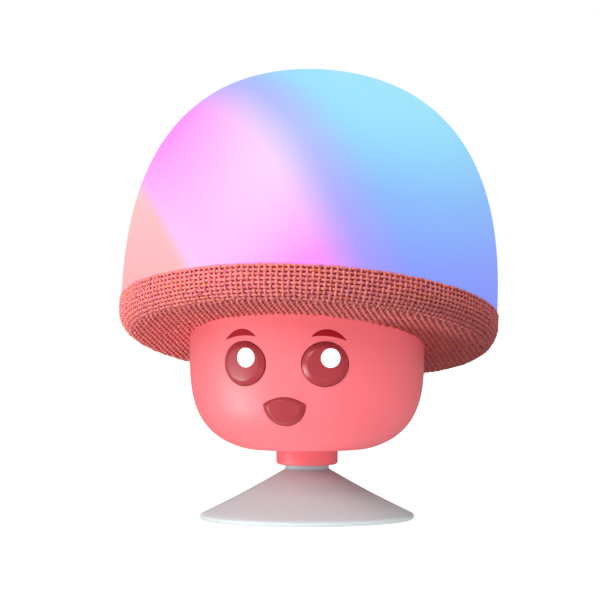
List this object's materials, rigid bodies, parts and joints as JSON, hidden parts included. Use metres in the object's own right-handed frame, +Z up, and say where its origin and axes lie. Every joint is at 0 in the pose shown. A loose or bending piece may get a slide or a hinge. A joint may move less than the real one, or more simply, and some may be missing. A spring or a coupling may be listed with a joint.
{
  "type": "shower speaker",
  "caption": "Mushroom-shaped shower speaker: glowing milky dome, woven brim, round face body and suction-cup foot, with rear keys and a flap over the charging port.",
  "frame": {"origin": "on the surface that the suction cup stands on, under the middle of the whole", "axes": "+Z up out of the suction cup, -Y the way the face looks, +X to the right as seen from the front"},
  "size_m": [0.0976, 0.0992, 0.1154],
  "materials": {
    "milky_polycarbonate": "satin, frosted inside so that the lights blend",
    "woven_polyester": "open basket weave of coral melange yarn",
    "coral_abs": "soft satin",
    "coral_frame_abs": "satin",
    "gloss_maroon_abs": "gloss",
    "gloss_white_abs": "gloss",
    "red_inlay": "satin",
    "frosted_silicone": "frosted, translucent",
    "coral_silicone_rubber": "matt",
    "black_rubber": "matt",
    "steel": "plated",
    "zinc": "zinc plated",
    "ferrite": "matt sintered ferrite",
    "paper_pulp": "matt",
    "copper_wire": "enamelled copper",
    "resin_cloth": "resin-stiffened cloth",
    "white_abs": "satin",
    "led_package": "gloss lens",
    "green_circuit_board": "solder mask",
    "black_epoxy": "moulded epoxy",
    "blue_shrink_wrap": "shrink film",
    "grey_abs": "satin",
    "red_pvc": "wire insulation",
    "grey_pvc": "wire insulation"
  },
  "bodies": {
    "suction_mount": {"suction_cup": "frosted_silicone", "cup_stud": "steel", "stud_clip": "steel"},
    "head": {"dome": "milky_polycarbonate", "dome_seal": "black_rubber", "brim_fabric": "woven_polyester", "brim_frame": "coral_frame_abs", "baffle_plate": "white_abs", "led_board": "white_abs", "led_1": "led_package", "led_2": "led_package", "led_3": "led_package", "led_4": "led_package", "led_5": "led_package", "led_6": "led_package", "light_cone": "white_abs", "driver_basket": "steel", "driver_top_plate": "steel", "driver_magnet": "ferrite", "driver_yoke": "steel", "driver_surround": "black_rubber", "driver_spider": "resin_cloth", "sound_deflector": "grey_abs", "frame_screw_1": "zinc", "frame_screw_2": "zinc", "frame_screw_3": "zinc", "frame_screw_4": "zinc", "head_shell": "coral_abs", "eye_left": "gloss_maroon_abs", "eye_right": "gloss_maroon_abs", "eye_glint_left": "gloss_white_abs", "eye_glint_right": "gloss_white_abs", "brow_left": "red_inlay", "brow_right": "red_inlay", "mouth": "gloss_maroon_abs", "switch_minus": "black_epoxy", "switch_light": "black_epoxy", "switch_power": "black_epoxy", "switch_plus": "black_epoxy", "button_board": "green_circuit_board", "usb_socket": "steel", "neck_collar": "coral_abs", "collar_seal": "black_rubber", "collar_nut": "steel", "main_board": "green_circuit_board", "radio_module": "steel", "amplifier_chip": "black_epoxy", "battery": "blue_shrink_wrap", "battery_tray": "grey_abs", "battery_lead": "red_pvc", "lights_lead": "grey_pvc"},
    "key_minus": {"button_minus": "coral_silicone_rubber"},
    "key_light": {"button_light": "coral_silicone_rubber"},
    "key_power": {"button_power": "coral_silicone_rubber"},
    "key_plus": {"button_plus": "coral_silicone_rubber"},
    "port_cover": {"port_flap": "coral_silicone_rubber"},
    "diaphragm": {"driver_cone": "paper_pulp", "driver_dust_cap": "paper_pulp", "driver_voice_coil": "copper_wire"}
  },
  "joints": [
    {"name": "head_swivel", "type": "hinge", "parent": "suction_mount", "child": "head", "pos_m": [0, -0.0041, 0.0148], "axis": [0, 0, 1], "continuous": true},
    {"name": "press_minus", "type": "slide", "parent": "head", "child": "key_minus", "axis": [0.6947, -0.7193, 0], "range_m": [0, 0.0006], "stiffness_N_per_m": 800, "springref_m": -0.0003},
    {"name": "press_light", "type": "slide", "parent": "head", "child": "key_light", "axis": [0.4226, -0.9063, 0], "range_m": [0, 0.0006], "stiffness_N_per_m": 800, "springref_m": -0.0003},
    {"name": "press_power", "type": "slide", "parent": "head", "child": "key_power", "axis": [-0.4226, -0.9063, 0], "range_m": [0, 0.0006], "stiffness_N_per_m": 800, "springref_m": -0.0003},
    {"name": "press_plus", "type": "slide", "parent": "head", "child": "key_plus", "axis": [-0.6947, -0.7193, 0], "range_m": [0, 0.0006], "stiffness_N_per_m": 800, "springref_m": -0.0003},
    {"name": "port_flap_hinge", "type": "hinge", "parent": "head", "child": "port_cover", "pos_m": [0, 0.02312, 0.02682], "axis": [-1, 0, 0], "range_deg": [0, 100]},
    {"name": "cone_excursion", "type": "slide", "parent": "head", "child": "diaphragm", "axis": [0, 0.2521, 0.9677], "range_m": [-0.0008, 0.0008], "stiffness_N_per_m": 1500, "deforming": ["driver_surround", "driver_spider"]}
  ]
}
